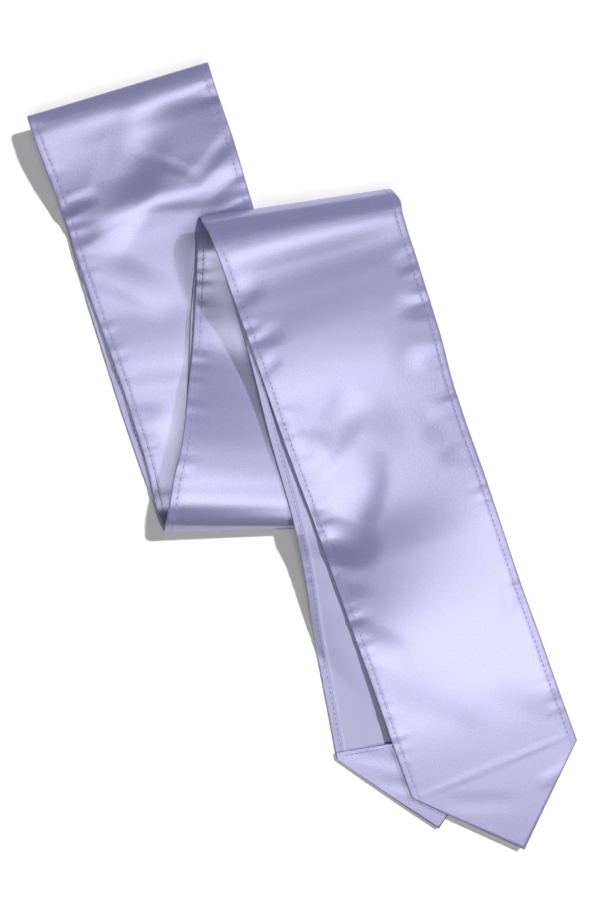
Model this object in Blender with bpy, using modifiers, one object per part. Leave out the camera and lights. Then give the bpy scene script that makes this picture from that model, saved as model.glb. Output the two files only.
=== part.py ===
"""Satin sash, folded in half end to end and laid in a zigzag of three doubled runs.

The doubled strip follows one imaginary bed: a surface ruled across the strip from its left edge
to its right edge, section by section. Half 1 of the sash lies on one side of the bed and half 2 on
the other, with their wrong sides together. The modelled surface of each piece is its satin face,
and Solidify grows the wall towards the wrong side.

Lengths in the tables are millimetres. X runs right, Y away from the viewer and Z up.
"""

from typing import NamedTuple

import bpy
import numpy as np

MM = 0.001

SASH_WIDTH = 100.0
POINT_DEPTH = 52.0
WALL = 1.0
HEM_WALL = 1.2
HEM_WIDTH = 4.0
SEAM_GAP = 0.3
SEAM_CLEAR = 0.22
UNDER_HALF_SHORT = 28.0
CREASE_STEPS = 6
CREASE_FROM = np.radians(105)
COLUMNS = 9
ROW_PITCH = 7.0
LOOP_STEPS = 4
POINT_LEAD = 12.0
POINT_STEPS = 8
FACING_LEAD = 3.0
FACING_INSET = 1.0

# The point of the tables' plan that becomes the origin, under the middle of the folded sash.
ORIGIN = np.array([6.7, -5.8, 0.0])

# The satin faces of a doubled run lie this far from the bed between them.
REACH = HEM_WALL + SEAM_GAP / 2
# Round the loops the layers stand a little looser.
LOOP_REACH = 1.5
# Where the facings lie between the layers, the faces are further apart.
POINT_REACH = HEM_WALL + SEAM_GAP + WALL + SEAM_GAP / 2

# Beyond its own left edge the bed droops by this much at one width away.
OVERHANG_DROOP = 60.0
# Directions are taken between points this far to each side.
NEAR = 0.4


class Section(NamedTuple):
    """One line across the bed, from its left edge to its right edge."""

    left_x: float
    left_y: float
    left_z: float
    bearing: float  # of the line in plan, degrees from +X
    length: float  # of the line, in sash widths
    right_z: float
    middle_lift: float  # of the middle above the straight line
    reach: float  # from the bed to the satin faces


SECTIONS = (
    # The fold at the middle of the sash, and the first run down to the floor.
    Section(-144.0, 186.0, 15.8, 16.3, 1.00, 17.2, 0.0, REACH),
    Section(-141.0, 176.0, 15.4, 16.6, 1.00, 16.8, 0.2, REACH),
    Section(-137.0, 163.5, 13.5, 17.0, 1.00, 12.4, 0.0, REACH),
    Section(-131.5, 146.5, 9.2, 17.3, 1.00, 6.6, -0.1, REACH),
    Section(-127.0, 130.5, 3.5, 17.6, 1.00, 2.2, -0.1, REACH),
    Section(-122.0, 112.0, 1.9, 17.4, 1.00, 1.6, 0.0, REACH),
    Section(-117.0, 94.0, 1.6, 17.2, 1.00, 1.6, 0.0, REACH),
    Section(-104.5, 54.0, REACH, 17.2, 1.00, REACH, 0.0, REACH),
    Section(-91.5, 11.5, REACH, 17.0, 1.00, REACH, 0.0, REACH),
    Section(-86.0, -7.0, REACH, 13.0, 1.01, REACH, 0.0, REACH),
    # The lower loop, wide at its left end and tight at its right end.
    Section(-82.5, -20.0, 2.2, 3.0, 1.03, REACH, -0.2, REACH),
    Section(-78.3, -33.0, 5.4, -0.6, 1.04, 2.2, -0.8, LOOP_REACH),
    Section(-75.6, -37.2, 10.2, 0.7, 1.04, 5.2, -0.2, LOOP_REACH),
    Section(-74.0, -33.6, 16.0, -0.4, 1.04, 7.8, -0.2, LOOP_REACH),
    Section(-71.8, -23.5, 20.6, -1.4, 1.03, 8.4, -0.4, LOOP_REACH),
    # The middle run, back across the first.
    Section(-69.2, -8.0, 20.5, -3.8, 1.01, 7.2, -0.1, REACH),
    Section(-65.2, 8.5, 18.5, -6.0, 1.00, 6.0, -0.3, REACH),
    Section(-62.2, 30.0, 14.9, -6.5, 1.00, 5.3, -1.0, REACH),
    Section(-60.8, 46.0, 12.0, -5.5, 1.00, 5.0, -1.5, REACH),
    Section(-59.4, 62.0, 9.2, -4.0, 1.00, 4.8, -1.5, REACH),
    Section(-58.4, 79.0, 7.8, -2.5, 1.00, 4.5, -0.6, REACH),
    Section(-57.6, 92.0, 6.5, -0.5, 1.00, 4.4, -0.1, REACH),
    Section(-56.8, 104.0, 6.0, 2.0, 1.00, 4.4, 0.0, REACH),
    Section(-56.2, 117.0, 6.8, 5.0, 1.01, 4.8, 0.0, REACH),
    # The upper loop.
    Section(-55.6, 128.0, 12.6, 7.6, 1.03, 8.2, 0.2, REACH),
    Section(-53.7, 133.2, 19.6, 8.2, 1.03, 12.8, 0.4, LOOP_REACH),
    Section(-51.4, 131.6, 27.2, 8.6, 1.03, 17.6, 0.4, LOOP_REACH),
    Section(-47.9, 126.2, 30.6, 9.6, 1.03, 20.2, 0.6, LOOP_REACH),
    Section(-44.0, 116.5, 31.9, 12.5, 1.01, 21.2, 0.4, REACH),
    # The front run, over the middle run and down to the floor.
    Section(-38.4, 100.0, 29.7, 16.0, 1.00, 19.9, -0.5, REACH),
    Section(-32.6, 83.0, 25.8, 17.4, 1.00, 16.2, -0.9, REACH),
    Section(-25.0, 60.5, 20.4, 17.6, 1.00, 10.9, -0.9, REACH),
    Section(-17.6, 38.5, 17.2, 17.8, 1.00, 6.4, -0.5, REACH),
    Section(-10.6, 17.5, 16.6, 18.0, 0.99, 4.0, 0.0, REACH),
    Section(-1.0, -9.5, 16.0, 18.2, 0.985, 3.4, 0.4, REACH),
    Section(8.0, -34.0, 14.7, 18.4, 0.985, 2.6, 0.0, REACH),
    Section(19.0, -66.5, 9.8, 18.4, 0.985, 1.8, -1.6, REACH),
    Section(30.0, -99.0, 4.6, 18.6, 0.985, REACH, -1.0, REACH),
    Section(42.0, -133.0, 2.4, 19.2, 0.99, 2.0, 0.0, 1.9),
    Section(53.0, -165.0, 2.7, 20.0, 0.995, POINT_REACH, 0.0, 2.6),
    Section(64.0, -195.8, POINT_REACH, 20.4, 1.00, POINT_REACH, 0.0, POINT_REACH),
    Section(83.0, -246.0, POINT_REACH, 20.6, 1.00, POINT_REACH, 0.0, POINT_REACH),
)

FIRST_FLAT = 9
UPPER_LOOP = 23
CORNERS = 40
LOOP_SECTIONS = {*range(10, 15), *range(24, 29)}


class Slip(NamedTuple):
    """How far each half has slipped sideways off the bed's middle line, at one section."""

    section: int
    half_1: float
    half_2: float


SLIPS = (
    Slip(0, 0.0, 0.0),
    Slip(4, 0.3, -0.5),
    Slip(8, 2.2, -2.4),
    Slip(12, 0.2, -0.2),
    Slip(17, 0.0, 0.0),
    Slip(20, -1.4, 0.6),
    Slip(23, -0.4, 0.2),
    Slip(29, 0.0, 0.0),
    Slip(31, 0.0, -2.5),
    Slip(33, 0.0, -6.5),
    Slip(35, 0.0, -11.0),
    Slip(36, 0.0, -15.6),
    Slip(37, 0.0, -22.2),
    Slip(38, 0.0, -28.0),
    Slip(39, 0.0, -33.2),
    Slip(40, 0.0, -38.2),
    Slip(41, 0.0, -46.5),
)


class Fold(NamedTuple):
    """A soft ridge or trough that both halves share, between two points of the bed."""

    from_along: float
    from_across: float
    to_along: float
    to_across: float
    bow: float  # of the line sideways at its middle
    width: float  # from the line to the fold's edge
    lean: float  # share that one side is wider and the other narrower
    height: float  # negative for a trough


FOLDS = (
    Fold(14, 12, 76, -42, 3, 19, 0.05, 2.0),
    Fold(604, -70, 638, -24, -1, 15, 0.1, 2.1),
    Fold(624, -36, 584, -6, -3, 17, 0.2, 0.7),
    Fold(552, -2, 582, -46, 2, 15, -0.1, -0.7),
)


class Finish(NamedTuple):
    """A Principled material's values."""

    colour: tuple
    roughness: float
    metallic: float


SATIN = Finish((0.50, 0.48, 0.70), 0.32, 0.35)
WRONG_SIDE = Finish((0.46, 0.44, 0.66), 0.60, 0.0)


def through(knots, values, at):
    """Smooth curve through values at knots: each span is a cubic whose end slopes are the
    neighbours' slopes weighted by the other span's length. Ends run straight on."""
    spans = np.diff(knots)
    rise = np.diff(values, axis=0) / spans[:, None]
    inner = (rise[:-1] * spans[1:, None] + rise[1:] * spans[:-1, None]) / (spans[:-1] + spans[1:])[:, None]
    slope = np.concatenate([rise[:1], inner, rise[-1:]])
    i = np.clip(np.searchsorted(knots, at, side="right") - 1, 0, len(spans) - 1)
    h = spans[i]
    t = (at - knots[i]) / h
    c = t[..., None]
    h = h[..., None]
    return (
        (2 * c**3 - 3 * c**2 + 1) * values[i]
        + (c**3 - 2 * c**2 + c) * h * slope[i]
        + (3 * c**2 - 2 * c**3) * values[i + 1]
        + (c**3 - c**2) * h * slope[i + 1]
    )


def smooth_bump(distance):
    """Soft crest: one at zero, (1 - d squared) squared out to one, and nothing beyond."""
    return np.clip(1 - distance**2, 0, None) ** 2


def fold_height(along, across):
    """Sum of the folds: each is its height times a crest across its line and one along it."""
    total = np.zeros(np.broadcast(along, across).shape)
    for fold in FOLDS:
        run = np.array([fold.to_along - fold.from_along, fold.to_across - fold.from_across])
        length = np.hypot(*run)
        run = run / length
        there = ((along - fold.from_along) * run[0] + (across - fold.from_across) * run[1]) / length
        aside = (across - fold.from_across) * run[0] - (along - fold.from_along) * run[1]
        aside = aside - fold.bow * (1 - (2 * there - 1) ** 2)
        width = fold.width * (1 + fold.lean * np.sign(aside))
        beyond = np.clip(np.abs(2 * there - 1) - 0.3, 0, None) / 0.9
        total += fold.height * smooth_bump(aside / width) * smooth_bump(beyond)
    return total


class Bed:
    """The ruled surface that the doubled strip follows, by distance along and place across."""

    def __init__(self, sections):
        table = np.array(sections)
        left = table[:, :3]
        bearing = np.radians(table[:, 3])
        line = table[:, 4] * SASH_WIDTH
        drop = table[:, 5] - table[:, 2]
        plan = np.sqrt(line**2 - drop**2)
        right = left + np.stack([plan * np.cos(bearing), plan * np.sin(bearing), drop], axis=1)
        self.columns = np.hstack([left, right, table[:, 6:8]])
        middle = (left + right) / 2
        steps = np.linalg.norm(np.diff(middle, axis=0), axis=1)
        self.along = np.concatenate([[0.0], np.cumsum(steps)])

    def reach(self, along):
        """How far the satin faces lie from the bed there."""
        return through(self.along, self.columns[:, 7:8], along)[..., 0]

    def place(self, along, across):
        """The point at that distance along the bed and that many millimetres right of its middle."""
        rows = through(self.along, self.columns, along)
        w = (across / SASH_WIDTH + 0.5)[..., None]
        points = rows[..., 0:3] * (1 - w) + rows[..., 3:6] * w
        inside = np.clip(w, 0, 1)
        points[..., 2:] += 4 * inside * (1 - inside) * rows[..., 6:7]
        points[..., 2:] -= OVERHANG_DROOP * np.clip(-w, 0, None) ** 2
        points[..., 2] += fold_height(along, across)
        points[..., 2:] = np.maximum(points[..., 2:], rows[..., 7:8])
        return points

    def normal(self, along, across):
        """Unit normal of the bed, pointing to the side that half 2 lies on."""
        down = self.place(along + NEAR, across) - self.place(along - NEAR, across)
        over = self.place(along, across + NEAR) - self.place(along, across - NEAR)
        n = np.cross(down, over)
        return -n / np.linalg.norm(n, axis=-1, keepdims=True)


class Half:
    """One half of the sash on its side of the bed: half 1 is side -1 and half 2 is side +1."""

    def __init__(self, bed, side, short):
        self.bed = bed
        self.side = side
        self.corners = bed.along[CORNERS] - short
        table = np.array(SLIPS)
        self.slip_at = bed.along[table[:, 0].astype(int)]
        self.slips = table[:, 1:2] if side < 0 else table[:, 2:3]

    def slip(self, along):
        """How far right of the bed's middle line this half's own middle line lies there."""
        return through(self.slip_at, self.slips, along)[..., 0]

    def on_bed(self, along, across):
        """Where a point of the strip lies on the bed: its lines turn as the slip grows."""
        turn = -np.arctan((self.slip(along + NEAR) - self.slip(along - NEAR)) / (2 * NEAR))
        return along + across * np.sin(turn), self.slip(along) + across * np.cos(turn)

    def face(self, along, across, depth=0.0):
        """Points of the satin face, or of a face that many millimetres nearer the bed."""
        s, u = self.on_bed(along, across)
        off = self.bed.reach(s)[..., None] - depth
        points = self.bed.place(s, u) + self.side * off * self.bed.normal(s, u)
        points[..., 2] = np.maximum(points[..., 2], 0.0)
        return points

    def crease(self, across):
        """Rows of points round the fold at the middle of the sash, from under the bed to above it."""
        angle = np.linspace(CREASE_FROM, 0, CREASE_STEPS + 1)[:-1, None, None]
        s = np.zeros_like(across)
        up = self.side * self.bed.normal(s, across)
        back = self.bed.place(s, across) - self.bed.place(s + NEAR, across)
        back /= np.linalg.norm(back, axis=-1, keepdims=True)
        ring = np.cos(angle) * up + np.sin(angle) * back
        return self.bed.place(s, across) + REACH * ring


def across_columns():
    """Columns across the strip, with one at each hem's inner edge."""
    half = SASH_WIDTH / 2
    inner = half - HEM_WIDTH
    return np.concatenate([[-half], np.linspace(-inner, inner, COLUMNS), [half]])


def along_rows(bed, first, last):
    """Rows along the bed between two of its sections, closer together round the loops."""
    rows = []
    for i in range(first, last):
        length = bed.along[i + 1] - bed.along[i]
        count = max(LOOP_STEPS if i in LOOP_SECTIONS else 1, round(length / ROW_PITCH))
        rows.append(np.linspace(bed.along[i], bed.along[i + 1], count, endpoint=False))
    return np.concatenate([*rows, [bed.along[last]]])


def to_point(half, start, across, steps):
    """Distances along a strip that ends in its point: rows that lean over until the last is its edge."""
    end = half.corners + POINT_DEPTH * (1 - 2 * np.abs(across) / SASH_WIDTH)
    share = np.linspace(0, 1, steps + 1)[:, None]
    return start + share * (end - start)


def strip_object(name, points, side, finish, collection, hems=True):
    """An object from a grid of points on the satin face, with its wall grown to the wrong side."""
    rows, columns = points.shape[:2]
    index = np.arange(rows * columns).reshape(rows, columns)
    quads = np.stack([index[:-1, :-1], index[1:, :-1], index[1:, 1:], index[:-1, 1:]], axis=-1)
    quads = quads.reshape(-1, 4)
    if side > 0:
        quads = quads[:, ::-1]
    mesh = bpy.data.meshes.new(name)
    mesh.from_pydata(((points - ORIGIN) * MM).reshape(-1, 3).tolist(), [], quads.tolist())
    mesh.shade_smooth()
    obj = bpy.data.objects.new(name, mesh)
    collection.objects.link(obj)
    wall = obj.modifiers.new("Wall", "SOLIDIFY")
    wall.offset = -1
    wall.use_even_offset = True
    wall.thickness = (HEM_WALL if hems else WALL) * MM
    if hems:
        group = obj.vertex_groups.new(name="Hem")
        group.add(index[:, [0, -1]].reshape(-1).tolist(), 1.0, "REPLACE")
        wall.vertex_group = group.name
        wall.thickness_vertex_group = WALL / HEM_WALL
    mesh.materials.append(material(name, finish))
    return obj


def material(name, finish):
    """A Principled material in the finish's values."""
    made = bpy.data.materials.new(name)
    made.use_nodes = True
    shader = made.node_tree.nodes["Principled BSDF"]
    shader.inputs["Base Color"].default_value = (*finish.colour, 1)
    shader.inputs["Roughness"].default_value = finish.roughness
    shader.inputs["Metallic"].default_value = finish.metallic
    return made


def stretch(half, first, last, crease=False, clear=SEAM_CLEAR):
    """Points of the satin face between two sections, just clear of the next stretches."""
    rows = along_rows(half.bed, first, last)
    rows[0] += clear
    rows[-1] -= SEAM_CLEAR
    along, across = np.meshgrid(rows, across_columns(), indexing="ij")
    points = half.face(along, across)
    if crease:
        points = np.concatenate([half.crease(across_columns()[None, :]), points])
    return points


def pointed_stretch(half, first):
    """Points of the satin face from a section to the turned point at the end."""
    across = across_columns()
    lean_from = half.corners - POINT_LEAD
    rows = along_rows(half.bed, first, CORNERS)
    rows[0] += SEAM_CLEAR
    rows = rows[rows < lean_from - ROW_PITCH / 2]
    plain = np.broadcast_to(rows[:, None], (len(rows), len(across)))
    leaning = to_point(half, lean_from, across, POINT_STEPS)
    along = np.concatenate([plain, leaning])
    return half.face(along, np.broadcast_to(across, along.shape))


def facing(half):
    """Points of the turned facing, whose outer face is half a seam gap from the bed."""
    across = across_columns() * (1 - FACING_INSET / SASH_WIDTH)
    along = to_point(half, half.corners - FACING_LEAD, across, POINT_STEPS) - SEAM_GAP
    depth = POINT_REACH - SEAM_GAP / 2
    return half.face(along, np.broadcast_to(across, along.shape), depth)


def clear_scene():
    """Removes the scene's objects."""
    for obj in list(bpy.data.objects):
        bpy.data.objects.remove(obj)


def main():
    """Builds the six stretches and the two facings."""
    clear_scene()
    collection = bpy.data.collections.new("Satin sash")
    bpy.context.scene.collection.children.link(collection)
    bed = Bed(SECTIONS)
    half_1 = Half(bed, -1, 0.0)
    half_2 = Half(bed, 1, UNDER_HALF_SHORT)
    pieces = (
        ("first_run_upper", half_1, stretch(half_1, 0, FIRST_FLAT, crease=True)),
        ("first_run_under", half_2, stretch(half_2, 0, FIRST_FLAT, clear=2 * SEAM_GAP)),
        ("middle_run_under", half_1, stretch(half_1, FIRST_FLAT, UPPER_LOOP)),
        ("middle_run_upper", half_2, stretch(half_2, FIRST_FLAT, UPPER_LOOP)),
        ("front_run_upper", half_1, pointed_stretch(half_1, UPPER_LOOP)),
        ("front_run_under", half_2, pointed_stretch(half_2, UPPER_LOOP)),
    )
    for name, half, points in pieces:
        strip_object(name, points, half.side, SATIN, collection)
    for name, half in (("upper_point_facing", half_1), ("under_point_facing", half_2)):
        strip_object(name, facing(half), -half.side, WRONG_SIDE, collection, hems=False)


main()
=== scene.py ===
"""Looks of a satin sash, folded in half end to end and laid in a zigzag of three doubled runs.

The sash is two cloths that meet at the fold in the middle of its length. Each half is a thin sheet
on the satin face of its solids, with double-turned hems, machine stitches, the puckers that they
draw and the listed creases. Lengths in the tables are millimetres, in the plan of the runs: X
right, Y away from the viewer and Z up.
"""

from __future__ import annotations

import logging
import math
from dataclasses import dataclass, field
from enum import Enum
from typing import NamedTuple

import bpy
import numpy as np
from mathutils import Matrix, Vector

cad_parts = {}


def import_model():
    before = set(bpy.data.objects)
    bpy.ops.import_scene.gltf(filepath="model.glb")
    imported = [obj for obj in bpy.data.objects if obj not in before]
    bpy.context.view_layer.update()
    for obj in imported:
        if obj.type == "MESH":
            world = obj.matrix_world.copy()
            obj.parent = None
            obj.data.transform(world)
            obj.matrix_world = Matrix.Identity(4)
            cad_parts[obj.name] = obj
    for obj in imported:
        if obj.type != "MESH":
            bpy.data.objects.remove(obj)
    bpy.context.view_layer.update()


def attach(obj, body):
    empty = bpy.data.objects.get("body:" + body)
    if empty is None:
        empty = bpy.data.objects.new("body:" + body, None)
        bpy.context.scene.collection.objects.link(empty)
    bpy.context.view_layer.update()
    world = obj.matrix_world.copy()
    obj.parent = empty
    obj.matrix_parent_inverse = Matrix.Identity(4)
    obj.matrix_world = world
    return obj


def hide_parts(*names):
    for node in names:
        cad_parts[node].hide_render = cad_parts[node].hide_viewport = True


Array = np.ndarray
LOG = logging.getLogger("sash")

MM = 0.001

SASH_WIDTH = 100.0
POINT_DEPTH = 52.0
WALL = 1.0
HEM_WALL = 1.2
SEAM_GAP = 0.3
UNDER_HALF_SHORT = 28.0
CREASE_FROM = math.radians(105)
FACING_LEAD = 3.0
FACING_INSET = 1.0

# The point of the tables' plan that is the frame's origin.
ORIGIN = np.array([6.7, -5.8, 0.0])

REACH = HEM_WALL + SEAM_GAP / 2
LOOP_REACH = 1.5
POINT_REACH = HEM_WALL + SEAM_GAP + WALL + SEAM_GAP / 2
OVERHANG_DROOP = 60.0
NEAR = 0.4


class Section(NamedTuple):
    """One line across the bed of the doubled strip, from its left edge to its right edge."""

    left_x: float
    left_y: float
    left_z: float
    bearing: float  # of the line in plan, degrees from +X
    length: float  # of the line, in sash widths
    right_z: float
    middle_lift: float  # of the middle above the straight line
    reach: float  # from the bed to the satin faces


SECTIONS = (
    # The fold at the middle of the sash, and the first run down to the floor.
    Section(-144.0, 186.0, 15.8, 16.3, 1.00, 17.2, 0.0, REACH),
    Section(-141.0, 176.0, 15.4, 16.6, 1.00, 16.8, 0.2, REACH),
    Section(-137.0, 163.5, 13.5, 17.0, 1.00, 12.4, 0.0, REACH),
    Section(-131.5, 146.5, 9.2, 17.3, 1.00, 6.6, -0.1, REACH),
    Section(-127.0, 130.5, 3.5, 17.6, 1.00, 2.2, -0.1, REACH),
    Section(-122.0, 112.0, 1.9, 17.4, 1.00, 1.6, 0.0, REACH),
    Section(-117.0, 94.0, 1.6, 17.2, 1.00, 1.6, 0.0, REACH),
    Section(-104.5, 54.0, REACH, 17.2, 1.00, REACH, 0.0, REACH),
    Section(-91.5, 11.5, REACH, 17.0, 1.00, REACH, 0.0, REACH),
    Section(-86.0, -7.0, REACH, 13.0, 1.01, REACH, 0.0, REACH),
    # The lower loop, wide at its left end and tight at its right end.
    Section(-82.5, -20.0, 2.2, 3.0, 1.03, REACH, -0.2, REACH),
    Section(-78.3, -33.0, 5.4, -0.6, 1.04, 2.2, -0.8, LOOP_REACH),
    Section(-75.6, -37.2, 10.2, 0.7, 1.04, 5.2, -0.2, LOOP_REACH),
    Section(-74.0, -33.6, 16.0, -0.4, 1.04, 7.8, -0.2, LOOP_REACH),
    Section(-71.8, -23.5, 20.6, -1.4, 1.03, 8.4, -0.4, LOOP_REACH),
    # The middle run, back across the first.
    Section(-69.2, -8.0, 20.5, -3.8, 1.01, 7.2, -0.1, REACH),
    Section(-65.2, 8.5, 18.5, -6.0, 1.00, 6.0, -0.3, REACH),
    Section(-62.2, 30.0, 14.9, -6.5, 1.00, 5.3, -1.0, REACH),
    Section(-60.8, 46.0, 12.0, -5.5, 1.00, 5.0, -1.5, REACH),
    Section(-59.4, 62.0, 9.2, -4.0, 1.00, 4.8, -1.5, REACH),
    Section(-58.4, 79.0, 7.8, -2.5, 1.00, 4.5, -0.6, REACH),
    Section(-57.6, 92.0, 6.5, -0.5, 1.00, 4.4, -0.1, REACH),
    Section(-56.8, 104.0, 6.0, 2.0, 1.00, 4.4, 0.0, REACH),
    Section(-56.2, 117.0, 6.8, 5.0, 1.01, 4.8, 0.0, REACH),
    # The upper loop.
    Section(-55.6, 128.0, 12.6, 7.6, 1.03, 8.2, 0.2, REACH),
    Section(-53.7, 133.2, 19.6, 8.2, 1.03, 12.8, 0.4, LOOP_REACH),
    Section(-51.4, 131.6, 27.2, 8.6, 1.03, 17.6, 0.4, LOOP_REACH),
    Section(-47.9, 126.2, 30.6, 9.6, 1.03, 20.2, 0.6, LOOP_REACH),
    Section(-44.0, 116.5, 31.9, 12.5, 1.01, 21.2, 0.4, REACH),
    # The front run, over the middle run and down to the floor.
    Section(-38.4, 100.0, 29.7, 16.0, 1.00, 19.9, -0.5, REACH),
    Section(-32.6, 83.0, 25.8, 17.4, 1.00, 16.2, -0.9, REACH),
    Section(-25.0, 60.5, 20.4, 17.6, 1.00, 10.9, -0.9, REACH),
    Section(-17.6, 38.5, 17.2, 17.8, 1.00, 6.4, -0.5, REACH),
    Section(-10.6, 17.5, 16.6, 18.0, 0.99, 4.0, 0.0, REACH),
    Section(-1.0, -9.5, 16.0, 18.2, 0.985, 3.4, 0.4, REACH),
    Section(8.0, -34.0, 14.7, 18.4, 0.985, 2.6, 0.0, REACH),
    Section(19.0, -66.5, 9.8, 18.4, 0.985, 1.8, -1.6, REACH),
    Section(30.0, -99.0, 4.6, 18.6, 0.985, REACH, -1.0, REACH),
    Section(42.0, -133.0, 2.4, 19.2, 0.99, 2.0, 0.0, 1.9),
    Section(53.0, -165.0, 2.7, 20.0, 0.995, POINT_REACH, 0.0, 2.6),
    Section(64.0, -195.8, POINT_REACH, 20.4, 1.00, POINT_REACH, 0.0, POINT_REACH),
    Section(83.0, -246.0, POINT_REACH, 20.6, 1.00, POINT_REACH, 0.0, POINT_REACH),
)

CORNERS = 40


class Slip(NamedTuple):
    """How far each half has slipped sideways off the bed's middle line, at one section."""

    section: int
    half_1: float
    half_2: float


SLIPS = (
    Slip(0, 0.0, 0.0),
    Slip(4, 0.3, -0.5),
    Slip(8, 2.2, -2.4),
    Slip(12, 0.2, -0.2),
    Slip(17, 0.0, 0.0),
    Slip(20, -1.4, 0.6),
    Slip(23, -0.4, 0.2),
    Slip(29, 0.0, 0.0),
    Slip(31, 0.0, -2.5),
    Slip(33, 0.0, -6.5),
    Slip(35, 0.0, -11.0),
    Slip(36, 0.0, -15.6),
    Slip(37, 0.0, -22.2),
    Slip(38, 0.0, -28.0),
    Slip(39, 0.0, -33.2),
    Slip(40, 0.0, -38.2),
    Slip(41, 0.0, -46.5),
)


class Layer(Enum):
    """Which cloth a crease is in, by the side of the bed that its satin face lies on."""

    HALF_1 = -1
    HALF_2 = 1
    BOTH = 0


class Fold(NamedTuple):
    """A soft ridge or trough along a bowed line, in millimetres along the bed and across it."""

    layer: Layer
    from_along: float
    from_across: float
    to_along: float
    to_across: float
    bow: float  # sideways shift of the line's middle
    width: float  # from the crest to where it has died away
    lean: float  # -1 to 1: how much steeper one flank is than the other
    height: float  # up is positive, towards +Z


ONE, TWO, BED = Layer.HALF_1, Layer.HALF_2, Layer.BOTH

FOLDS = (
    # First run: its rounded first edge, then the crumple where it comes down to the floor.
    Fold(BED, -1, -90, -1, 90, 0, 5, 0.0, -0.7),
    Fold(BED, -1, -90, -1, 90, 0, 12, 0.0, -0.4),
    Fold(BED, 14, 12, 76, -42, 3, 19, 0.05, 2.0),
    Fold(BED, 34, 0, 56, 27, 0, 4.5, 0.0, 0.2),
    Fold(BED, 60, 20, 36, 56, 0, 6, 0.0, 0.4),
    Fold(BED, 72, -60, 60, -6, 0, 9, 0.2, -0.5),
    Fold(BED, 60, -10, 70, 40, 0, 9, 0.2, -0.5),
    Fold(BED, 53, -64, 48, -28, 0, 6, 0.0, 0.8),
    Fold(BED, 62, -60, 68, -32, 0, 7, 0.0, -0.4),
    Fold(BED, 66, 60, 80, 28, 0, 9, 0.0, 0.7),
    Fold(ONE, 76, -58, 118, -12, 2, 14, 0.2, 0.8),
    Fold(ONE, 82, 20, 130, 14, 0, 18, 0.0, 1.2),
    Fold(ONE, 138, -66, 152, 6, 2, 24, 0.3, 1.3),
    Fold(ONE, 172, -60, 182, -30, 0, 16, 0.0, 0.9),
    # Front run: the low swell in its middle, the sharp crease by its left hem and small ones.
    Fold(BED, 582, -48, 574, 12, 0, 22, 0.1, 0.6),
    Fold(BED, 578, -64, 586, -30, 0, 12, 0.0, -0.6),
    Fold(BED, 536, 22, 556, 64, 0, 16, 0.0, -0.4),
    Fold(BED, 584, 26, 590, 62, 0, 10, 0.0, -0.4),
    Fold(BED, 600, 30, 606, 64, 0, 9, 0.0, -0.4),
    Fold(BED, 604, -70, 638, -24, -1, 15, 0.1, 2.1),
    Fold(BED, 624, -36, 584, -6, -3, 17, 0.2, 0.7),
    Fold(BED, 552, -2, 582, -46, 2, 15, -0.1, -0.7),
    Fold(BED, 648, -64, 668, -34, 0, 11, 0.0, -0.35),
    Fold(BED, 672, -62, 706, -24, 1, 12, 0.0, -0.4),
    Fold(ONE, 672, 46, 704, 36, 0, 7, 0.0, 0.3),
    Fold(ONE, 710, -36, 746, 12, 2, 26, 0.2, 0.5),
    Fold(ONE, 726, 18, 756, 56, 0, 20, 0.0, 0.4),
    Fold(ONE, 482, -60, 476, -32, 0, 9, 0.2, 0.4),
    Fold(ONE, 506, -60, 503, -30, 0, 8, -0.1, 0.4),
    Fold(ONE, 527, -58, 517, -36, 0, 6, 0.1, 0.25),
    Fold(ONE, 548, -60, 550, -34, 0, 7, 0.0, 0.2),
    Fold(ONE, 568, -58, 560, -38, 0, 5, 0.0, 0.2),
    Fold(ONE, 611, -54, 607, -38, 0, 3.5, 0.0, 0.3),
    Fold(ONE, 616, -46, 632, -22, 0, 13, 0.1, 0.6),
    Fold(ONE, 566, -44, 574, -26, 0, 10, 0.0, 0.3),
    Fold(ONE, 487, 60, 489, 36, 0, 8, 0.2, 0.3),
    Fold(ONE, 518, 60, 511, 32, 0, 9, 0.1, 0.4),
    Fold(ONE, 551, 60, 541, 30, 0, 10, 0.2, 0.45),
    Fold(ONE, 577, 60, 573, 32, 0, 8, 0.0, 0.25),
    Fold(ONE, 784, -50, 778, 50, 0, 3.2, 0.2, 0.07),
    Fold(ONE, 792, -34, 806, 8, 0, 8, 0.0, -0.1),
    Fold(ONE, 800, 20, 796, 44, 0, 6, 0.0, 0.16),
    Fold(TWO, 752, -44, 766, -6, 0, 6, 0.0, -0.25),
    Fold(TWO, 772, -30, 784, 6, 0, 6, 0.0, -0.3),
)


def smooth_bump(distance: Array) -> Array:
    """Soft crest: (1 - d squared) squared out to d = 1, and nothing beyond.

    Args:
        distance: distance from the crest, in widths.

    Returns:
        Height, from 0 to 1.
    """
    return np.clip(1 - distance**2, 0, None) ** 2


def fold_height(folds: tuple[Fold, ...], along: Array, across: Array) -> Array:
    """Sum of the folds: each is its height times a crest across its line and one along it.

    Args:
        folds: rows of the table, all of one layer.
        along: distances along the bed.
        across: millimetres right of its middle.

    Returns:
        Heights in millimetres.
    """
    total = np.zeros(np.broadcast(along, across).shape)
    for fold in folds:
        run = np.array([fold.to_along - fold.from_along, fold.to_across - fold.from_across])
        length = np.hypot(*run)
        run = run / length
        there = ((along - fold.from_along) * run[0] + (across - fold.from_across) * run[1]) / length
        aside = (across - fold.from_across) * run[0] - (along - fold.from_along) * run[1]
        aside = aside - fold.bow * (1 - (2 * there - 1) ** 2)
        width = fold.width * (1 + fold.lean * np.sign(aside))
        beyond = np.clip(np.abs(2 * there - 1) - 0.3, 0, None) / 0.9
        total += fold.height * smooth_bump(aside / width) * smooth_bump(beyond)
    return total


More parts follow.
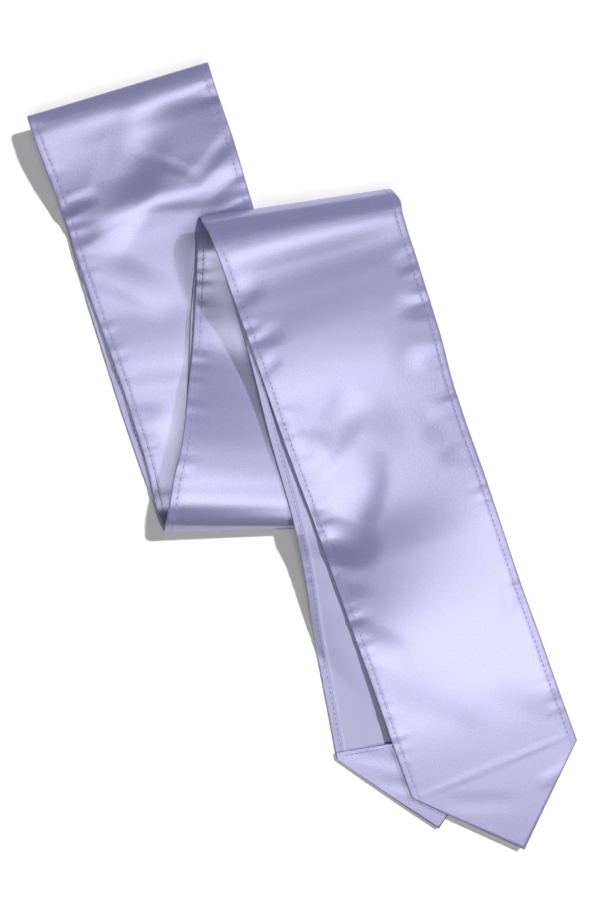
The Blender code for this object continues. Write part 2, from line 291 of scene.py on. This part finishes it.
def through(knots: Array, values: Array, at: Array) -> Array:
    """Smooth curve through values at knots: each span is a cubic whose end slopes are the
    neighbours' slopes weighted by the other span's length. Ends run straight on.

    Args:
        knots: rising distances.
        values: one row for each knot.
        at: distances to read the curve at, of any shape.

    Returns:
        The rows there, in one more dimension than at.
    """
    spans = np.diff(knots)
    rise = np.diff(values, axis=0) / spans[:, None]
    both = (spans[:-1] + spans[1:])[:, None]
    inner = (rise[:-1] * spans[1:, None] + rise[1:] * spans[:-1, None]) / both
    slope = np.concatenate([rise[:1], inner, rise[-1:]])
    i = np.clip(np.searchsorted(knots, at, side="right") - 1, 0, len(spans) - 1)
    h = spans[i]
    t = (at - knots[i]) / h
    c = t[..., None]
    h = h[..., None]
    return (
        (2 * c**3 - 3 * c**2 + 1) * values[i]
        + (c**3 - 2 * c**2 + c) * h * slope[i]
        + (3 * c**2 - 2 * c**3) * values[i + 1]
        + (c**3 - c**2) * h * slope[i + 1]
    )


def unit(vectors: Array) -> Array:
    """The same vectors, one unit long."""
    return vectors / np.linalg.norm(vectors, axis=-1, keepdims=True)


class Bed:
    """The ruled surface that the doubled strip follows, by distance along and place across."""

    def __init__(self, sections: tuple[Section, ...], folds: tuple[Fold, ...]) -> None:
        """Works out both edges and the distance along the middle of each section."""
        table = np.array(sections)
        left = table[:, :3]
        bearing = np.radians(table[:, 3])
        line = table[:, 4] * SASH_WIDTH
        drop = table[:, 5] - table[:, 2]
        plan = np.sqrt(line**2 - drop**2)
        right = left + np.stack([plan * np.cos(bearing), plan * np.sin(bearing), drop], axis=1)
        self.columns = np.hstack([left, right, table[:, 6:8]])
        self.folds = folds
        middle = (left + right) / 2
        steps = np.linalg.norm(np.diff(middle, axis=0), axis=1)
        self.along = np.concatenate([[0.0], np.cumsum(steps)])

    def reach(self, along: Array) -> Array:
        """How far the satin faces lie from the bed there."""
        return through(self.along, self.columns[:, 7:8], along)[..., 0]

    def place(self, along: Array, across: Array) -> Array:
        """Point of the bed: the line between the edges, plus 4w(1 - w) times the middle's lift.

        Args:
            along: distances along the bed.
            across: millimetres right of its middle.

        Returns:
            Points, never lower than their reach above the floor.
        """
        rows = through(self.along, self.columns, along)
        w = (across / SASH_WIDTH + 0.5)[..., None]
        points = rows[..., 0:3] * (1 - w) + rows[..., 3:6] * w
        inside = np.clip(w, 0, 1)
        points[..., 2:] += 4 * inside * (1 - inside) * rows[..., 6:7]
        points[..., 2:] -= OVERHANG_DROOP * np.clip(-w, 0, None) ** 2
        points[..., 2] += fold_height(self.folds, along, across)
        points[..., 2:] = np.maximum(points[..., 2:], rows[..., 7:8])
        return points

    def normal(self, along: Array, across: Array) -> Array:
        """Unit normal of the bed, pointing to the side that half 2 lies on."""
        down = self.place(along + NEAR, across) - self.place(along - NEAR, across)
        over = self.place(along, across + NEAR) - self.place(along, across - NEAR)
        return -unit(np.cross(down, over))


@dataclass
class Pucker:
    """Small waves that the hem's stitches draw into one edge."""

    depth: float = 0.11
    reach: float = 13.0
    waves: tuple[float, ...] = (7.3, 9.9, 14.6)
    drift: float = 61.0

    def height(self, along: Array, inset: Array, phase: float) -> Array:
        """Sum of sines along the edge, strong and weak by turns, dying away inwards.

        Args:
            along: distances along the strip.
            inset: distances from the edge.
            phase: tells one edge from another.

        Returns:
            Heights out of the satin face, in millimetres.
        """
        rise = sum(
            np.sin(2 * math.pi * along / wave + phase * (2 + k)) for k, wave in enumerate(self.waves)
        )
        swell = 0.55 + 0.45 * np.sin(2 * math.pi * along / self.drift + 2.1 * phase)
        return self.depth * rise * swell * np.exp(-((inset / self.reach) ** 2) * 3)


@dataclass
class Half:
    """One half of the sash on its side of the bed, from the fold at the middle to its point."""

    name: str
    layer: Layer
    bed: Bed
    short: float
    along_pitch: float = 1.75
    across_pitch: float = 1.8
    point_lead: float = 12.0
    point_steps: int = 36
    crease_steps: int = 12
    hem_insets: tuple[float, ...] = (0.0, 0.35, 0.9, 2.0, 3.2, 3.7, 4.2, 4.9, 5.3)
    stitch_inset: float = 3.7
    groove: float = 0.05
    edge_round: float = 0.7
    edge_drop: float = 0.25
    end_share: float = 0.7  # of a distance along that counts as nearness of the slanting end
    calm_reach: float = 30.0  # the puckers die away over this last part
    least_reach: float = 0.75
    cloth: float = 0.36
    hem_cloth: float = 1.05
    pucker: Pucker = field(default_factory=Pucker)

    def __post_init__(self) -> None:
        """Reads the sideways slip and the folds of this half."""
        self.side = self.layer.value
        self.corners = self.bed.along[CORNERS] - self.short
        table = np.array(SLIPS)
        self.slip_at = self.bed.along[table[:, 0].astype(int)]
        self.slips = table[:, 1:2] if self.side < 0 else table[:, 2:3]
        self.folds = tuple(fold for fold in FOLDS if fold.layer is self.layer)

    def slip(self, along: Array) -> Array:
        """How far right of the bed's middle line this half's own middle line lies there."""
        return through(self.slip_at, self.slips, along)[..., 0]

    def on_bed(self, along: Array, across: Array) -> tuple[Array, Array]:
        """Where a point of the strip lies on the bed: its lines turn as the slip grows."""
        turn = -np.arctan((self.slip(along + NEAR) - self.slip(along - NEAR)) / (2 * NEAR))
        return along + across * np.sin(turn), self.slip(along) + across * np.cos(turn)

    def end(self, across: Array) -> Array:
        """Distance along at which the strip ends there: the corners plus the point's part."""
        return self.corners + POINT_DEPTH * (1 - 2 * np.abs(across) / SASH_WIDTH)

    def relief(self, along: Array, across: Array) -> Array:
        """Height of the cloth out of its smooth satin face.

        Folds of this half, the puckers of its edges, the groove under the stitches and the
        roundness of its edges add up, and none goes deeper than the cloth's side of the bed.

        Args:
            along: distances along the strip.
            across: millimetres right of its middle.

        Returns:
            Heights in millimetres.
        """
        inset = SASH_WIDTH / 2 - np.abs(across)
        phase = np.where(across < 0, 1.3, 4.1) + self.side
        height = fold_height(self.folds, along, across)
        calm = np.clip((self.end(across) - along) / self.calm_reach, 0, 1)
        height = height + calm * self.pucker.height(along, inset, phase)
        height -= self.groove * smooth_bump((inset - self.stitch_inset) / 1.0)
        edge = np.minimum(inset, (self.end(across) - along) * self.end_share)
        height -= self.edge_drop * np.clip(1 - edge / self.edge_round, 0, 1) ** 2
        return np.maximum(height, self.least_reach - REACH)

    def face(self, along: Array, across: Array, depth: float = 0.0, relief: bool = True) -> Array:
        """Points of the satin face: bed plus side times (reach less depth) times its normal.

        Args:
            along: distances along the strip.
            across: millimetres right of the strip's middle.
            depth: how much nearer the bed than the satin face.
            relief: whether the folds and hems of this half count.

        Returns:
            Points in the tables' plan, none under the floor.
        """
        s, u = self.on_bed(along, across)
        off = self.bed.reach(s) - depth
        if relief:
            off = off + self.relief(along, across)
        points = self.bed.place(s, u) + self.side * off[..., None] * self.bed.normal(s, u)
        points[..., 2] = np.maximum(points[..., 2], 0.0)
        return points

    def crease(self, across: Array) -> Array:
        """Rows of points round the fold at the middle of the sash, from under the bed to above it.

        Args:
            across: one row of places across the strip.

        Returns:
            Points on arcs of radius REACH round the bed's first line.
        """
        angle = np.linspace(CREASE_FROM, 0, self.crease_steps + 1)[:-1, None, None]
        s = np.zeros_like(across)
        up = self.side * self.bed.normal(s, across)
        back = unit(self.bed.place(s, across) - self.bed.place(s + NEAR, across))
        ring = np.cos(angle) * up + np.sin(angle) * back
        off = REACH + self.relief(s, across)[..., None]
        return self.bed.place(s, across) + off * ring

    def columns(self) -> Array:
        """Places across the strip: close together in the hems, even between them."""
        half = SASH_WIDTH / 2
        insets = np.array(self.hem_insets)
        inner = half - insets[-1]
        count = round(2 * inner / self.across_pitch)
        even = np.linspace(-inner, inner, count + 1)[1:-1]
        return np.concatenate([insets - half, even, (half - insets)[::-1]])

    def grid(self) -> tuple[Array, Array]:
        """Distances along and across of the whole strip, whose last rows lean over to its point."""
        across = self.columns()
        lean_from = self.corners - self.point_lead
        count = round(lean_from / self.along_pitch)
        plain = np.linspace(0, lean_from, count, endpoint=False)[:, None] + 0 * across
        share = np.linspace(0, 1, self.point_steps + 1)[:, None]
        leaning = lean_from + share * (self.end(across) - lean_from)
        along = np.concatenate([plain, leaning])
        return along, np.broadcast_to(across, along.shape)


def strip_mesh(name: str, points: Array, uv: Array, flip: bool) -> bpy.types.Mesh:
    """A mesh of quads through a grid of points, with a UV map in metres of flat cloth.

    Args:
        name: the mesh's name.
        points: grid of points in the tables' plan, in millimetres.
        uv: grid of flat places, across and along, in metres.
        flip: whether the faces point the other way.

    Returns:
        The mesh, in the frame's metres.
    """
    rows, columns = points.shape[:2]
    index = np.arange(rows * columns).reshape(rows, columns)
    quads = np.stack([index[:-1, :-1], index[1:, :-1], index[1:, 1:], index[:-1, 1:]], axis=-1)
    quads = quads.reshape(-1, 4)
    if flip:
        quads = quads[:, ::-1]
    mesh = bpy.data.meshes.new(name)
    mesh.vertices.add(rows * columns)
    mesh.vertices.foreach_set("co", ((points - ORIGIN) * MM).reshape(-1).astype(np.float32))
    mesh.loops.add(quads.size)
    mesh.loops.foreach_set("vertex_index", quads.reshape(-1).astype(np.int32))
    mesh.polygons.add(len(quads))
    mesh.polygons.foreach_set("loop_start", np.arange(0, quads.size, 4, dtype=np.int32))
    layer = mesh.uv_layers.new(name="Cloth")
    layer.data.foreach_set("uv", uv.reshape(-1, 2)[quads.reshape(-1)].reshape(-1).astype(np.float32))
    mesh.update(calc_edges=True)
    mesh.validate()
    mesh.shade_smooth()
    return mesh


def linked(name: str, mesh: bpy.types.Mesh) -> bpy.types.Object:
    """An object of that mesh, in the scene."""
    obj = bpy.data.objects.new(name, mesh)
    bpy.context.scene.collection.objects.link(obj)
    return obj


@dataclass(frozen=True)
class WeaveGroup:
    """The satin's weave, fine uneven threads and slow variation, as a group of nodes."""

    name: str = "Weave"
    thread: float = 0.00032
    slub: float = 0.0011
    grain: float = 1300.0

    def build(self) -> bpy.types.ShaderNodeTree:
        """A group from the cloth's UV to a height and a shade, both about 0 to 1."""
        tree = bpy.data.node_groups.new(self.name, "ShaderNodeTree")
        tree.interface.new_socket("UV", in_out="INPUT", socket_type="NodeSocketVector")
        tree.interface.new_socket("Height", in_out="OUTPUT", socket_type="NodeSocketFloat")
        tree.interface.new_socket("Shade", in_out="OUTPUT", socket_type="NodeSocketFloat")
        entry = tree.nodes.new("NodeGroupInput")
        leave = tree.nodes.new("NodeGroupOutput")
        heights = []
        for size, stretch in ((self.thread, 0.16), (self.slub, 0.5)):
            place = tree.nodes.new("ShaderNodeMapping")
            place.inputs["Scale"].default_value = (1 / size, stretch / size, 1)
            noise = tree.nodes.new("ShaderNodeTexNoise")
            noise.inputs["Scale"].default_value = 1.0
            noise.inputs["Detail"].default_value = 1.0
            tree.links.new(entry.outputs["UV"], place.inputs["Vector"])
            tree.links.new(place.outputs["Vector"], noise.inputs["Vector"])
            heights.append(noise.outputs["Fac"])
        mean = tree.nodes.new("ShaderNodeMath")
        mean.operation = "ADD"
        tree.links.new(heights[0], mean.inputs[0])
        tree.links.new(heights[1], mean.inputs[1])
        tree.links.new(mean.outputs[0], leave.inputs["Height"])
        cloud = tree.nodes.new("ShaderNodeTexNoise")
        cloud.inputs["Scale"].default_value = self.grain
        cloud.inputs["Detail"].default_value = 1.0
        tree.links.new(entry.outputs["UV"], cloud.inputs["Vector"])
        tree.links.new(cloud.outputs["Fac"], leave.inputs["Shade"])
        return tree


@dataclass(frozen=True)
class ClothFinish:
    """One face of the satin, with the finish of the hem that is turned over onto it."""

    name: str
    colour: tuple[float, float, float]
    colour_low: tuple[float, float, float]
    metallic: float
    roughness: float
    hem_colour: tuple[float, float, float]
    hem_metallic: float
    hem_roughness: float
    hem_width: float = 0.0051
    hem_blend: float = 0.0002
    specular: float = 0.5
    ior: float = 1.5
    tint: tuple[float, float, float] = (1.0, 1.0, 1.0)
    bump: float = 0.3
    bump_distance: float = 0.0001

    def build(self, weave: bpy.types.ShaderNodeTree) -> bpy.types.Material:
        """The material: weave bump and slow shade everywhere, hem values near the long edges.

        Args:
            weave: the shared group.

        Returns:
            The finished material.
        """
        made = bpy.data.materials.new(self.name)
        made.use_nodes = True
        nodes, links = made.node_tree.nodes, made.node_tree.links
        shader = nodes["Principled BSDF"]
        shader.inputs["IOR"].default_value = self.ior
        shader.inputs["Specular IOR Level"].default_value = self.specular
        shader.inputs["Specular Tint"].default_value = (*self.tint, 1)
        uv = nodes.new("ShaderNodeUVMap")
        uv.uv_map = "Cloth"
        group = nodes.new("ShaderNodeGroup")
        group.node_tree = weave
        links.new(uv.outputs["UV"], group.inputs["UV"])
        apart = nodes.new("ShaderNodeSeparateXYZ")
        links.new(uv.outputs["UV"], apart.inputs["Vector"])
        size = nodes.new("ShaderNodeMath")
        size.operation = "ABSOLUTE"
        links.new(apart.outputs["X"], size.inputs[0])
        edge = nodes.new("ShaderNodeMapRange")
        hem_line = SASH_WIDTH * MM / 2 - self.hem_width
        edge.inputs["From Min"].default_value = hem_line - self.hem_blend
        edge.inputs["From Max"].default_value = hem_line
        links.new(size.outputs[0], edge.inputs["Value"])
        plain = self.colour_mix(made, group.outputs["Shade"], self.colour_low, self.colour)
        hemmed = nodes.new("ShaderNodeMix")
        hemmed.data_type = "RGBA"
        links.new(edge.outputs["Result"], hemmed.inputs["Factor"])
        links.new(plain, hemmed.inputs["A"])
        hemmed.inputs["B"].default_value = (*self.hem_colour, 1)
        links.new(hemmed.outputs["Result"], shader.inputs["Base Color"])
        for socket, inner, outer in (
            ("Metallic", self.metallic, self.hem_metallic),
            ("Roughness", self.roughness, self.hem_roughness),
        ):
            value = nodes.new("ShaderNodeMapRange")
            value.inputs["To Min"].default_value = inner
            value.inputs["To Max"].default_value = outer
            links.new(edge.outputs["Result"], value.inputs["Value"])
            links.new(value.outputs["Result"], shader.inputs[socket])
        bump = nodes.new("ShaderNodeBump")
        bump.inputs["Strength"].default_value = self.bump
        bump.inputs["Distance"].default_value = self.bump_distance
        links.new(group.outputs["Height"], bump.inputs["Height"])
        links.new(bump.outputs["Normal"], shader.inputs["Normal"])
        return made

    def colour_mix(
        self,
        made: bpy.types.Material,
        factor: bpy.types.NodeSocket,
        low: tuple[float, float, float],
        high: tuple[float, float, float],
    ) -> bpy.types.NodeSocket:
        """Mix of two colours by a factor that stays near its middle.

        Args:
            made: the material that the nodes go into.
            factor: socket of the factor.
            low: colour at 0.3.
            high: colour at 0.7.

        Returns:
            The colour's socket.
        """
        span = made.node_tree.nodes.new("ShaderNodeMapRange")
        span.inputs["From Min"].default_value = 0.3
        span.inputs["From Max"].default_value = 0.7
        mix = made.node_tree.nodes.new("ShaderNodeMix")
        mix.data_type = "RGBA"
        mix.inputs["A"].default_value = (*low, 1)
        mix.inputs["B"].default_value = (*high, 1)
        made.node_tree.links.new(factor, span.inputs["Value"])
        made.node_tree.links.new(span.outputs["Result"], mix.inputs["Factor"])
        return mix.outputs["Result"]


SATIN = ClothFinish(
    name="Satin face",
    colour=(0.345, 0.332, 0.59),
    colour_low=(0.268, 0.257, 0.485),
    metallic=0.32,
    roughness=0.3,
    hem_colour=(0.31, 0.298, 0.54),
    hem_metallic=0.32,
    hem_roughness=0.36,
    specular=1.0,
    ior=1.95,
    tint=(1.0, 0.99, 1.0),
)
WRONG_SIDE = ClothFinish(
    name="Satin wrong side",
    colour=(0.44, 0.43, 0.64),
    colour_low=(0.42, 0.41, 0.62),
    metallic=0.0,
    roughness=0.62,
    hem_colour=(0.40, 0.39, 0.60),
    hem_metallic=0.22,
    hem_roughness=0.42,
)


@dataclass(frozen=True)
class ThreadFinish:
    """Sewing thread in the sash's colour, a little deeper."""

    name: str = "Sewing thread"
    colour: tuple[float, float, float] = (0.34, 0.32, 0.58)
    colour_low: tuple[float, float, float] = (0.26, 0.24, 0.48)
    roughness: float = 0.5
    twist: float = 2600.0

    def build(self) -> bpy.types.Material:
        """The material, with the thread's twist as fine bands."""
        made = bpy.data.materials.new(self.name)
        made.use_nodes = True
        nodes, links = made.node_tree.nodes, made.node_tree.links
        shader = nodes["Principled BSDF"]
        shader.inputs["Roughness"].default_value = self.roughness
        place = nodes.new("ShaderNodeTexCoord")
        noise = nodes.new("ShaderNodeTexNoise")
        noise.inputs["Scale"].default_value = self.twist
        links.new(place.outputs["Object"], noise.inputs["Vector"])
        mix = nodes.new("ShaderNodeMix")
        mix.data_type = "RGBA"
        mix.inputs["A"].default_value = (*self.colour_low, 1)
        mix.inputs["B"].default_value = (*self.colour, 1)
        links.new(noise.outputs["Fac"], mix.inputs["Factor"])
        links.new(mix.outputs["Result"], shader.inputs["Base Color"])
        return made


@dataclass
class SashHalf:
    """The cloth of one half, with its hems, its facing and its stitches."""

    half: Half
    nodes: tuple[str, ...]
    facing_node: str
    crease: bool
    flat_area: float
    stitch_pitch: float = 3.0
    facing_crease: float = 0.35
    stitch_length: float = 2.1
    stitch_radius: float = 0.24
    stitch_sides: int = 6
    stitch_dip: float = 0.8  # of its radius, at its ends
    stitch_rise: float = 0.35  # of its radius, all along
    hem_start: float = 2.0
    base_inset: float = 5.0
    base_lead: float = 2.0
    floor_clear: float = 0.02
    hem_slope: float = 0.35
    facing_cloth: float = 0.4
    facing_grain: float = 0.8  # scale of its weave across

    def build(
        self, satin: bpy.types.Material, wrong: bpy.types.Material, thread: bpy.types.Material
    ) -> None:
        """Args:
            satin: material of the right side.
            wrong: material of the wrong side.
            thread: material of the stitches.
        """
        cloth = self.cloth(satin, wrong)
        facing = self.facing(satin, wrong)
        rows = [self.hem_stitches(edge, inner) for edge in (-1, 1) for inner in (False, True)]
        rows += [self.base_stitches()]
        stitches = self.stitches(np.concatenate(rows), thread)
        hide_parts(*self.nodes)
        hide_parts(self.facing_node)
        for piece in (cloth, facing, stitches):
            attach(piece, "root")
            LOG.info("%s: %d points", piece.name, len(piece.data.vertices))

    def cloth(self, satin: bpy.types.Material, wrong: bpy.types.Material) -> bpy.types.Object:
        """The strip itself: a thin wall, thicker where the hems are turned over twice."""
        half = self.half
        along, across = half.grid()
        points = half.face(along, across)
        uv = np.stack([across, along], axis=-1) * MM
        if self.crease:
            row = across[:1]
            wrap = half.crease(row)
            turned = -REACH * np.linspace(CREASE_FROM, 0, len(wrap) + 1)[:-1, None]
            wrap_uv = np.stack([row + 0 * turned, turned + 0 * row], axis=-1) * MM
            points = np.concatenate([wrap, points])
            uv = np.concatenate([wrap_uv, uv])
        mesh = strip_mesh(half.name, points, uv, flip=half.side > 0)
        obj = linked(half.name, mesh)
        mesh.materials.append(satin)
        mesh.materials.append(wrong)
        share = half.cloth / half.hem_cloth
        inset = SASH_WIDTH / 2 - np.abs(uv[..., 0]).reshape(-1) / MM
        weight = share + (1 - share) * np.clip((half.hem_insets[-1] - inset) / self.hem_slope, 0, 1)
        group = obj.vertex_groups.new(name="Hem")
        for value in np.unique(weight.round(4)):
            members = np.nonzero(np.abs(weight - value) < 1e-4)[0]
            group.add(members.tolist(), float(value), "REPLACE")
        wall = obj.modifiers.new("Wall", "SOLIDIFY")
        wall.thickness = half.hem_cloth * MM
        wall.offset = -1
        wall.vertex_group = group.name
        wall.use_even_offset = True
        wall.material_offset = 1
        wall.material_offset_rim = 0
        return obj

    def facing(self, satin: bpy.types.Material, wrong: bpy.types.Material) -> bpy.types.Object:
        """The turned end on the wrong side of the point, whose outer face is satin too.

        It lies smooth under the cloth, with a share of the cloth's own folds.
        """
        half = self.half
        across = half.columns() * (1 - FACING_INSET / SASH_WIDTH)
        start = half.corners - FACING_LEAD
        share = np.linspace(0, 1, half.point_steps + 1)[:, None]
        along = start + share * (half.end(across) - start) - SEAM_GAP
        across = np.broadcast_to(across, along.shape)
        depth = POINT_REACH - SEAM_GAP / 2
        points = half.face(along, across, depth, relief=False)
        points[..., 2] += self.facing_crease * fold_height(half.folds, along, across)
        uv = np.stack([across * self.facing_grain, along], axis=-1) * MM
        mesh = strip_mesh(half.name + "_facing", points, uv, flip=half.side < 0)
        obj = linked(half.name + "_facing", mesh)
        mesh.materials.append(satin)
        mesh.materials.append(wrong)
        wall = obj.modifiers.new("Wall", "SOLIDIFY")
        wall.thickness = self.facing_cloth * MM
        wall.offset = -1
        wall.use_even_offset = True
        wall.material_offset = 1
        return obj

    def hem_stitches(self, edge: int, inner: bool) -> Array:
        """Places and directions of the stitches along one hem.

        Args:
            edge: -1 for the left edge and 1 for the right one.
            inner: whether they lie on the wrong side.

        Returns:
            For each stitch its middle, its direction and the way out of the cloth.
        """
        half = self.half
        count = int((half.corners - 2 * self.hem_start) / self.stitch_pitch)
        shift = 0.5 if inner else 0.0
        along = self.hem_start + (np.arange(count) + shift) * self.stitch_pitch
        across = np.full(count, edge * (SASH_WIDTH / 2 - half.stitch_inset))
        depth = half.hem_cloth if inner else 0.0
        return self.frames(along, across, depth, inner, along_strip=True)

    def base_stitches(self) -> Array:
        """Places and directions of the stitches along the facing's straight edge."""
        half = self.half
        reach = SASH_WIDTH / 2 - self.base_inset
        count = int(2 * reach / self.stitch_pitch)
        across = -reach + (np.arange(count) + 0.5) * self.stitch_pitch
        along = np.full(count, half.corners - FACING_LEAD + self.base_lead)
        depth = POINT_REACH - SEAM_GAP / 2
        return self.frames(along, across, depth, True, along_strip=False)

    def frames(self, along: Array, across: Array, depth: float, inner: bool, along_strip: bool) -> Array:
        """Middle, direction and outward way of stitches at those places of the cloth."""
        half = self.half
        step = (NEAR, 0.0) if along_strip else (0.0, NEAR)
        turn = (0.0, NEAR) if along_strip else (NEAR, 0.0)
        middle = half.face(along, across, depth)
        run = unit(half.face(along + step[0], across + step[1], depth) - middle)
        side = unit(half.face(along + turn[0], across + turn[1], depth) - middle)
        out = unit(np.cross(run, side))
        s, u = half.on_bed(along, across)
        facing = half.side * half.bed.normal(s, u) * (-1 if inner else 1)
        out *= np.sign(np.sum(out * facing, axis=-1, keepdims=True))
        return np.stack([middle, run, out], axis=1)

    def stitches(self, frames: Array, thread: bpy.types.Material) -> bpy.types.Object:
        """All stitches as one mesh: each is a short spindle that dips into the cloth at its ends.

        A spindle's ring at t from -1 to 1 lies at t times half its length along its direction,
        with radius r times the root of (1.02 - t to the fourth), sunk by its dip r t squared.

        Args:
            frames: middle, direction and outward way of each stitch.
            thread: the stitches' material.

        Returns:
            The object.
        """
        t = np.array([-1.0, -0.6, 0.6, 1.0])
        angle = np.arange(self.stitch_sides) * 2 * math.pi / self.stitch_sides
        radius = self.stitch_radius * np.sqrt(np.clip(1.02 - t**4, 0, None))
        length = t * self.stitch_length / 2
        sink = self.stitch_dip * self.stitch_radius * t**2
        middle, run, out = frames[:, 0], frames[:, 1], frames[:, 2]
        side = np.cross(run, out)
        aside = radius[:, None] * np.cos(angle)
        rise = radius[:, None] * np.sin(angle) - sink[:, None] + self.stitch_rise * self.stitch_radius
        points = (
            middle[:, None, None]
            + length[None, :, None, None] * run[:, None, None]
            + aside[None, ..., None] * side[:, None, None]
            + rise[None, ..., None] * out[:, None, None]
        )
        points[..., 2] = np.maximum(points[..., 2], self.floor_clear)
        rings, sides = len(t), self.stitch_sides
        index = np.arange(rings * sides).reshape(rings, sides)
        after = np.roll(index, -1, axis=1)
        quads = np.stack([index[:-1], after[:-1], after[1:], index[1:]], axis=-1).reshape(-1, 4)
        caps = np.stack([index[0][::-1], index[-1]])
        first = np.arange(len(frames))[:, None, None] * rings * sides
        faces = (first + quads).reshape(-1, 4).tolist() + (first + caps).reshape(-1, sides).tolist()
        mesh = bpy.data.meshes.new(self.half.name + "_stitches")
        mesh.from_pydata(((points - ORIGIN) * MM).reshape(-1, 3).tolist(), [], faces)
        mesh.shade_smooth()
        mesh.materials.append(thread)
        return linked(self.half.name + "_stitches", mesh)


@dataclass
class Sash:
    """The whole sash: both halves on one bed."""

    half_area: tuple[float, float] = (0.0808, 0.0782)

    def build(self) -> None:
        """Makes the two halves in their finishes."""
        weave = WeaveGroup().build()
        satin, wrong, thread = SATIN.build(weave), WRONG_SIDE.build(weave), ThreadFinish().build()
        bed = Bed(SECTIONS, tuple(fold for fold in FOLDS if fold.layer is Layer.BOTH))
        first = Half("first_half", Layer.HALF_1, bed, 0.0)
        second = Half("second_half", Layer.HALF_2, bed, UNDER_HALF_SHORT)
        first_nodes = ("first_run_upper", "middle_run_under", "front_run_upper")
        second_nodes = ("first_run_under", "middle_run_upper", "front_run_under")
        SashHalf(first, first_nodes, "upper_point_facing", True, self.half_area[0]).build(
            satin, wrong, thread
        )
        SashHalf(second, second_nodes, "under_point_facing", False, self.half_area[1]).build(
            satin, wrong, thread
        )


@dataclass(frozen=True)
class Studio:
    """White floor, overhead softbox, key light and camera. Lengths are metres."""

    floor_size: float = 8.0
    floor_white: tuple[float, float, float] = (0.97, 0.97, 0.94)
    world: float = 0.085
    softbox_height: float = 3.0
    softbox_near: float = -23.5  # degrees from overhead, towards the viewer
    softbox_far: float = 2.6
    softbox_left: float = -18.0
    softbox_right: float = 23.0
    softbox_radiance: float = 2.4
    softbox_colour: tuple[float, float, float] = (0.99, 0.98, 1.0)
    core_near: float = -21.0
    core_far: float = -3.0
    core_left: float = -1.0
    core_right: float = 20.0
    core_radiance: float = 1.35
    core_drop: float = 0.05  # below the softbox
    key_towards: tuple[float, float, float] = (0.70, 0.66, 1.0)
    key_strength: float = 3.2
    key_angle: float = 3.0
    image_long_side: float = 920.0
    focal_pixels: float = 1750.0
    sensor: float = 36.0
    distance: float = 0.973
    tilt: float = 10.0

    def build(self) -> None:
        """Sets the stage up."""
        self.floor()
        self.background()
        sides = self.softbox_near, self.softbox_far, self.softbox_left, self.softbox_right
        self.softbox("Softbox", self.softbox_height, sides, self.softbox_radiance)
        core = self.core_near, self.core_far, self.core_left, self.core_right
        core_height = self.softbox_height - self.core_drop
        self.softbox("Softbox core", core_height, core, self.core_radiance)
        self.key()
        self.camera()
        bpy.context.scene.view_settings.view_transform = "Standard"

    def floor(self) -> None:
        """A plain white sheet under the sash."""
        r = self.floor_size / 2
        mesh = bpy.data.meshes.new("floor")
        mesh.from_pydata([(-r, -r, 0), (r, -r, 0), (r, r, 0), (-r, r, 0)], [], [(0, 1, 2, 3)])
        obj = linked("floor", mesh)
        made = bpy.data.materials.new("Floor")
        made.use_nodes = True
        shader = made.node_tree.nodes["Principled BSDF"]
        shader.inputs["Base Color"].default_value = (*self.floor_white, 1)
        shader.inputs["Roughness"].default_value = 1.0
        shader.inputs["Specular IOR Level"].default_value = 0.0
        mesh.materials.append(made)

    def background(self) -> None:
        """Even fill from all round."""
        world = bpy.data.worlds.new("Fill")
        world.use_nodes = True
        shade = world.node_tree.nodes["Background"]
        shade.inputs["Color"].default_value = (1, 1, 1, 1)
        shade.inputs["Strength"].default_value = self.world
        bpy.context.scene.world = world

    def softbox(self, name: str, height: float, sides: tuple[float, ...], radiance: float) -> None:
        """A wide soft light overhead, whose power gives its face the stated radiance.

        Args:
            name: the light's name.
            height: metres over the floor.
            sides: near, far, left and right side, in degrees from overhead.
            radiance: of its face.
        """
        near, far, left, right = (height * math.tan(math.radians(angle)) for angle in sides)
        light = bpy.data.lights.new(name, "AREA")
        light.shape = "RECTANGLE"
        light.color = self.softbox_colour
        light.size = right - left
        light.size_y = far - near
        light.energy = radiance * math.pi * light.size * light.size_y
        obj = bpy.data.objects.new(name, light)
        obj.location = ((left + right) / 2, (near + far) / 2, height)
        bpy.context.scene.collection.objects.link(obj)

    def key(self) -> None:
        """The smaller light from the upper right that casts the shadows."""
        light = bpy.data.lights.new("Key", "SUN")
        light.energy = self.key_strength
        light.angle = math.radians(self.key_angle)
        obj = bpy.data.objects.new("Key", light)
        obj.rotation_euler = Vector(self.key_towards).to_track_quat("Z", "Y").to_euler()
        obj.location = Vector(self.key_towards)
        obj.visible_glossy = False
        bpy.context.scene.collection.objects.link(obj)

    def camera(self) -> None:
        """The camera looks down at the middle of the plan, tilted back from overhead."""
        data = bpy.data.cameras.new("Camera")
        data.sensor_width = self.sensor
        data.lens = self.sensor * self.focal_pixels / self.image_long_side
        obj = bpy.data.objects.new("Camera", data)
        tilt = math.radians(self.tilt)
        target = Vector((-ORIGIN * MM).tolist())
        back = Vector((0, math.sin(tilt), math.cos(tilt)))
        obj.location = target + self.distance * back
        obj.rotation_euler = (-tilt, 0, 0)
        bpy.context.scene.collection.objects.link(obj)
        bpy.context.scene.camera = obj


def main() -> None:
    """Builds the sash, its floor, its lights and its camera."""
    logging.basicConfig(level=logging.INFO, format="%(name)s: %(message)s")
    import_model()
    Studio().build()
    Sash().build()


if __name__ == "__main__":
    main()
